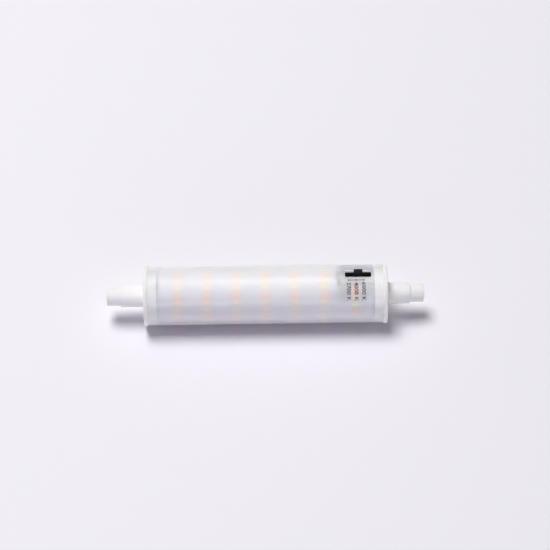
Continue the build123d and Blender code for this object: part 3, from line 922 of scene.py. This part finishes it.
# %% [markdown]
# ## The printed scale
# Beside the slot a line with three dots marks the switch's positions, and a plain number beside
# each dot gives the colour temperature in kelvin. It is pad printed in dark grey ink. The letters
# start as text, become a mesh, are cut into small faces, and are then wrapped round the tube:
# distance down the text becomes distance round the tube. The film starts just under the skin, so
# that no gap shows, and Solidify gives it its thickness.

# %% Dark grey ink, pad printed
ink = mottled("dark grey ink, pad printed", ("#1d1c21", "#2c2b31"), 0.12, (0.5, 0.7), IOR=1.5)
print(ink.name)

# %% Line, dots and numbers, laid out flat
SCALE_SHIFT = -0.8
SCALE_PITCH = 2.77
LINE_ARC, LINE_WIDTH = 3.0, 0.24
DOT_RADIUS = 0.3
TEXT_ARC = (3.95, 10.9)
TEXT_HEIGHT = 1.45
TEXT_WEIGHT = 0.005
DOT_SIDES = 24

middle_x = switch_x + SCALE_SHIFT
marks = [
    (middle_x - SCALE_PITCH, "2700 K"),
    (middle_x, "4000 K"),
    (middle_x + SCALE_PITCH, "6500 K"),
]


def flat_plate(x_span, arc_span):
    """A flat plate in X and Y, where Y is the distance round the tube from its top."""
    deselect()
    bpy.ops.mesh.primitive_plane_add(size=1, location=(sum(x_span) / 2 * MM, sum(arc_span) / 2 * MM, 0))
    bpy.ops.transform.resize(value=((x_span[1] - x_span[0]) * MM, (arc_span[1] - arc_span[0]) * MM, 1))
    bpy.ops.object.transform_apply(location=True, rotation=True, scale=True)
    return bpy.context.object


def flat_text(text, x):
    """A number whose letters stand along +X and read down the tube."""
    deselect()
    bpy.ops.object.text_add()
    number = bpy.context.object
    number.data.body = text
    number.data.offset = TEXT_WEIGHT
    bpy.ops.object.convert(target="MESH")
    number = bpy.context.object
    corners = [vertex.co for vertex in number.data.vertices]
    low = Vector([min(corner[i] for corner in corners) for i in range(3)])
    high = Vector([max(corner[i] for corner in corners) for i in range(3)])
    length, height = high.x - low.x, high.y - low.y
    for corner in corners:
        down = TEXT_ARC[0] + (corner.x - low.x) / length * (TEXT_ARC[1] - TEXT_ARC[0])
        across = x + ((corner.y - low.y) / height - 0.5) * TEXT_HEIGHT
        corner.x, corner.y = across * MM, down * MM
    return number


parts = [flat_plate(span(2 * SCALE_PITCH, middle_x), span(LINE_WIDTH, LINE_ARC))]
for x, text in marks:
    parts.append(flat_text(text, x))
    deselect()
    bpy.ops.mesh.primitive_circle_add(
        vertices=DOT_SIDES, radius=DOT_RADIUS * MM, fill_type="NGON", location=(x * MM, LINE_ARC * MM, 0)
    )
    bpy.ops.object.transform_apply(location=True, rotation=True, scale=True)
    parts.append(bpy.context.object)
scale = join("printed_scale", parts)
print(faces_of(scale))

# %% Scale wrapped round the tube
LARGEST_FACE = 0.35
SPLIT_ROUNDS = 6
INK_THICKNESS = 0.03
INK_SINK = 0.01

start_edit(scale)
bpy.ops.mesh.quads_convert_to_tris()
for _ in range(SPLIT_ROUNDS):
    pick(scale, "EDGE", lambda edge: edge.calc_length() > LARGEST_FACE * MM)
    bpy.ops.mesh.subdivide(number_cuts=1)
    bpy.ops.mesh.select_all(action="SELECT")
    bpy.ops.mesh.quads_convert_to_tris()
deselect()
film_radius = TUBE_RADIUS - INK_SINK
for vertex in scale.data.vertices:
    turn = vertex.co.y / MM / TUBE_RADIUS
    vertex.co.y = -math.sin(turn) * film_radius * MM
    vertex.co.z = math.cos(turn) * film_radius * MM
start_edit(scale)
bpy.ops.mesh.normals_make_consistent(inside=False)
deselect()
outward = sum(face.normal.z for face in scale.data.polygons)
apply_modifier(scale, "SOLIDIFY", thickness=INK_THICKNESS * MM, offset=1 if outward > 0 else -1)
dress(scale, ink, "lamp", "switch_black")

# %% [markdown]
# ## Inside the lamp
# The driver board and its parts can hardly be seen, but they are there, and each gets the finish
# that it has on a bench: green solder mask, shrink sleeve, ferrite, enamelled copper, tinned leads.
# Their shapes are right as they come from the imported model, so only their materials change.

# %% Board, chips and wires
inner_finishes = {
    "driver_board": mottled(
        "green solder mask on glass fibre", ("#1f4a2e", "#2a5a39"), 0.6, (0.35, 0.5), 0.004
    ),
    "bridge_rectifier": mottled("black epoxy, moulded", ("#151516", "#1e1e20"), 0.1, (0.5, 0.65), 0.003),
    "varistor": mottled("blue epoxy, dipped", ("#1f4a86", "#2a5898"), 0.8, (0.2, 0.32), 0.01),
    "film_capacitor": mottled("yellow PBT case, moulded", ("#d3a72c", "#ddb23a"), 0.2, (0.35, 0.48), 0.003),
    "choke_core": mottled("sintered ferrite, ground", ("#1d1d1e", "#2d2c2c"), 0.15, (0.6, 0.8), 0.006),
    "chip_resistors": mottled("black glass on alumina", ("#18181a", "#242428"), 0.2, (0.25, 0.4)),
    "chip_capacitors": mottled("barium titanate ceramic", ("#8a6d4c", "#9c7d5a"), 0.25, (0.35, 0.5), 0.003),
    "left_lead": mottled("white silicone insulation", ("#dedad2", "#e9e6df"), 0.3, (0.5, 0.65), 0.004),
    "switch_base": mottled("brown phenolic paper", ("#4f3119", "#644022"), 0.4, (0.5, 0.65), 0.006),
    "switch_wiper": mottled("phosphor bronze strip", ("#b3814a", "#c29058"), 0.2, (0.25, 0.4), Metallic=1.0),
    "component_leads": mottled("tinned copper wire", ("#b9babb", "#cccdce"), 0.2, (0.25, 0.4), Metallic=1.0),
}
shared = {
    "bridge_rectifier": ("driver_chip", "freewheel_diode"),
    "left_lead": ("right_lead",),
    "component_leads": ("chip_legs", "led_board_links", "lead_conductors", "switch_terminals"),
}
for node, material in inner_finishes.items():
    for name in (node, *shared.get(node, ())):
        nodes[name].data.materials.clear()
        nodes[name].data.materials.append(material)
print(len(inner_finishes), "inner finishes")

# %% Sleeved cans, wound copper and the banded resistor
BAND_RELIEF = 0.05


def banded(name, axis, width, shades, part, roughness, **constants):
    """A finish with bands across an axis, one every width in millimetres, that fill part of it."""
    material, tree, shader, place = finish(name, Roughness=roughness, **constants)
    axes = add(tree, "ShaderNodeSeparateXYZ", {"Vector": place})
    steps = add(tree, "ShaderNodeMath", {0: axes.outputs[axis], 1: width * MM}, operation="DIVIDE")
    wave = add(tree, "ShaderNodeMath", {0: steps.outputs[0], 1: 0.5}, operation="PINGPONG")
    band = add(tree, "ShaderNodeMath", {0: wave.outputs[0], 1: part / 2}, operation="LESS_THAN")
    shade = add(
        tree,
        "ShaderNodeMix",
        {0: band.outputs[0], 6: colour(shades[0]), 7: colour(shades[1])},
        data_type="RGBA",
    )
    bump = add(tree, "ShaderNodeBump", {"Height": wave.outputs[0], "Distance": BAND_RELIEF * width * MM})
    tree.links.new(shade.outputs[2], shader.inputs["Base Color"])
    tree.links.new(bump.outputs[0], shader.inputs["Normal"])
    return material


sleeve = banded("black shrink sleeve", "Y", 6.0, ("#17171b", "#55555c"), 0.3, 0.35)
winding = banded("enamelled copper, wound", "Z", 0.3, ("#a5562c", "#6d3518"), 0.25, 0.3, Metallic=0.9)
resistor = banded("flameproof coat with bands", "X", 1.6, ("#5a7566", "#7a5a34"), 0.3, 0.5)
for name, material in (
    ("bulk_capacitor", sleeve),
    ("output_capacitor", sleeve),
    ("choke_winding", winding),
    ("fusible_resistor", resistor),
):
    nodes[name].data.materials.clear()
    nodes[name].data.materials.append(material)
print(sleeve.name, winding.name, resistor.name)

# %% [markdown]
# ## Floor and light
# The lamp lies on a smooth white board, on its two flanges. A large softbox hangs above it, a
# little behind and to its left, and lies as a bright band on the tube. A smaller, stronger light at
# the same height draws the shadow and is kept out of reflections. The ceiling glows too, less and
# less towards the walls, but only what is seen or mirrored shows that glow, and it lights nothing.
# A white card stands upright on the camera's side and fills the lamp's front, but hardly the floor,
# and a dim room does the rest. The light is set so that a level white sheet renders about as its
# colour is written.

# %% Floor
FLOOR_SIDE = 8

floor_paint = mottled("white laminate, satin", ("#f2eff6", "#f4f1f8"), 1.5, (0.3, 0.36), IOR=1.45)
deselect()
bpy.ops.mesh.primitive_plane_add(size=FLOOR_SIDE, location=(0, 0, cad_box[0].z))
floor = bpy.context.object
floor.name = "floor"
floor.data.materials.append(floor_paint)
print(faces_of(floor))

# %% Softbox, key and card
SOFTBOX_PLACE, SOFTBOX_SIZE, SOFTBOX_RADIANCE = (-0.44, 0.7, 2.0), (2.0, 1.3), 0.9
KEY_PLACE, KEY_SIZE, KEY_RADIANCE = (-0.46, 0.27, 2.0), (0.84, 1.12), 12.4
CARD_PLACE, CARD_SIZE, CARD_RADIANCE = (0, -2.4, 0.48), (4.8, 0.96), 1.21
CARD_TINT = colour("#e1e3ff")


def area_light(name, place, size, radiance, tint=(1, 1, 1), tilt=0, mirrored=True):
    """A flat light that shines along its own -Z, tilted about X."""
    data = bpy.data.lights.new(name, "AREA")
    data.shape = "RECTANGLE"
    data.size, data.size_y = size
    data.color = tint[:3]
    data.energy = radiance * math.pi * size[0] * size[1]
    light = bpy.data.objects.new(name, data)
    light.location = place
    light.rotation_euler.x = tilt
    light.visible_glossy = mirrored
    bpy.context.scene.collection.objects.link(light)
    print(f"{name}, in watts: {data.energy:.2f}")


area_light("softbox", SOFTBOX_PLACE, SOFTBOX_SIZE, SOFTBOX_RADIANCE)
area_light("key", KEY_PLACE, KEY_SIZE, KEY_RADIANCE, mirrored=False)
area_light("card", CARD_PLACE, CARD_SIZE, CARD_RADIANCE, CARD_TINT, tilt=math.pi / 2)

# %% Room and ceiling
ROOM_LIGHT = 0.03
CEILING_GLOW = (0.85, 2.3)
CEILING_SPREAD = (0.2, 0.95)
CEILING_TILT = math.radians(12)

world = bpy.data.worlds.new("room")
world.use_nodes = True
bpy.context.scene.world = world
tree = world.node_tree
rays = add(tree, "ShaderNodeLightPath", {}).outputs
seen = rays["Is Camera Ray"]
for kind in ("Is Glossy Ray", "Is Transmission Ray"):
    seen = add(tree, "ShaderNodeMath", {0: seen, 1: rays[kind]}, operation="MAXIMUM").outputs[0]
direction = add(tree, "ShaderNodeTexCoord", {}).outputs["Generated"]
bright_way = (0, -math.sin(CEILING_TILT), math.cos(CEILING_TILT))
upward = add(tree, "ShaderNodeVectorMath", {0: direction, 1: bright_way}, operation="DOT_PRODUCT")
glow = add(
    tree,
    "ShaderNodeMapRange",
    {
        "Value": upward.outputs["Value"],
        "From Min": CEILING_SPREAD[0],
        "From Max": CEILING_SPREAD[1],
        "To Min": CEILING_GLOW[0],
        "To Max": CEILING_GLOW[1],
    },
).outputs[0]
strength = add(tree, "ShaderNodeMapRange", {"Value": seen, "To Min": ROOM_LIGHT, "To Max": glow})
background = tree.nodes["Background"]
background.inputs["Color"].default_value = colour("#fbfaff")
tree.links.new(strength.outputs[0], background.inputs["Strength"])
bpy.context.scene.view_settings.view_transform = "Standard"
print("world:", world.name)
